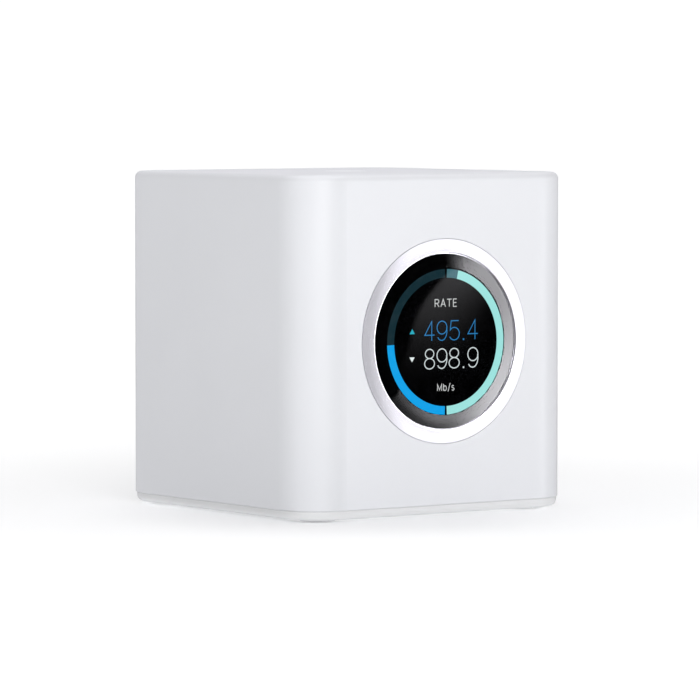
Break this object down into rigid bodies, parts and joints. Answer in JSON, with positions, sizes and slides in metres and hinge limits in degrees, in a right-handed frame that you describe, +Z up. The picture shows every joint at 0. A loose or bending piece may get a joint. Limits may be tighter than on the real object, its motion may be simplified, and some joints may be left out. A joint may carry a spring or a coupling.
{
  "type": "wireless router",
  "caption": "Cube-shaped wireless router with a round touch display in a polished ring, a softly lit foot ring and a recessed rear port panel.",
  "frame": {"origin": "on the table, under the middle of the bounding box", "axes": "+Z up, -Y out of the display, +X to the right of someone facing the display"},
  "size_m": [0.098, 0.0988, 0.0996],
  "materials": {
    "shell_white": "fine satin texture",
    "badge_gloss": "glossy",
    "lit_diffuser": "translucent, softly lit from inside",
    "base_grey": "matte",
    "foot_rubber": "matte",
    "screw_steel": "satin",
    "chassis_grey": "matte",
    "board_white": "solder mask",
    "led_lens": "lens",
    "bezel_chrome": "satin chrome",
    "cover_glass": "polished",
    "adhesive_black": "matte",
    "sensor_clear": "clear film",
    "screen_black": "glossy, lit picture",
    "backlight_white": "matte",
    "bracket_black": "matte",
    "board_green": "solder mask",
    "chip_black": "matte",
    "chip_lid": "satin",
    "tin_can": "tinned sheet",
    "pad_blue": "soft",
    "heatsink_alu": "cast",
    "power_grey": "matte",
    "jack_black": "matte",
    "gold_contact": "gold plated",
    "jack_blue": "matte",
    "status_lens": "lens",
    "port_steel": "pressed",
    "port_tongue": "matte",
    "panel_white": "matte",
    "stem_white": "matte",
    "button_grey": "matte",
    "cone_paper": "paper",
    "magnet_grey": "coated",
    "antenna_brass": "stamped",
    "coax_jacket": "jacket",
    "socket_cream": "matte",
    "ribbon_film": "film",
    "lead_red": "jacket"
  },
  "bodies": {
    "router": {"case": "shell_white", "top_badge": "badge_gloss", "light_ring": "lit_diffuser", "base_plate": "base_grey", "rubber_feet": "foot_rubber", "case_screws": "screw_steel", "chassis_screws": "screw_steel", "chassis": "chassis_grey", "light_board": "board_white", "base_leds": "led_lens", "display_bezel": "bezel_chrome", "display_glass": "cover_glass", "glass_adhesive": "adhesive_black", "touch_sensor": "sensor_clear", "lcd_panel": "screen_black", "display_backlight": "backlight_white", "display_bracket": "bracket_black", "display_screws": "screw_steel", "display_board": "board_green", "display_chips": "chip_black", "main_board": "board_green", "frame_screws": "screw_steel", "processor_chip": "chip_lid", "memory_chips": "chip_black", "switch_chip": "chip_black", "radio_shields": "tin_can", "radio_chips": "chip_black", "thermal_pads": "pad_blue", "heatsink": "heatsink_alu", "power_parts": "power_grey", "lan_jack_housing": "jack_black", "lan_jack_shield": "tin_can", "lan_jack_contacts": "gold_contact", "wan_jack_housing": "jack_blue", "wan_jack_shield": "tin_can", "wan_jack_contacts": "gold_contact", "jack_lights": "status_lens", "usb_a_shell": "port_steel", "usb_a_insulator": "port_tongue", "usb_a_contacts": "gold_contact", "usb_c_shell": "port_steel", "usb_c_insulator": "jack_black", "port_panel": "panel_white", "reset_switch": "jack_black", "reset_dome": "port_steel", "speaker_frame": "port_steel", "speaker_cone": "cone_paper", "speaker_magnet": "magnet_grey", "antenna_carrier": "bracket_black", "antennas_long": "antenna_brass", "antennas_short": "antenna_brass", "small_screws": "screw_steel", "coax_sockets": "gold_contact", "coax_cables": "coax_jacket", "lead_sockets": "socket_cream", "display_ribbon": "ribbon_film", "inner_leads": "lead_red"},
    "reset_key": {"reset_button": "button_grey", "reset_plunger": "stem_white"}
  },
  "joints": [
    {"name": "reset_press", "type": "slide", "parent": "router", "child": "reset_key", "axis": [0, -1, 0], "range_m": [0, 0.0005], "stiffness_N_per_m": 2500}
  ]
}
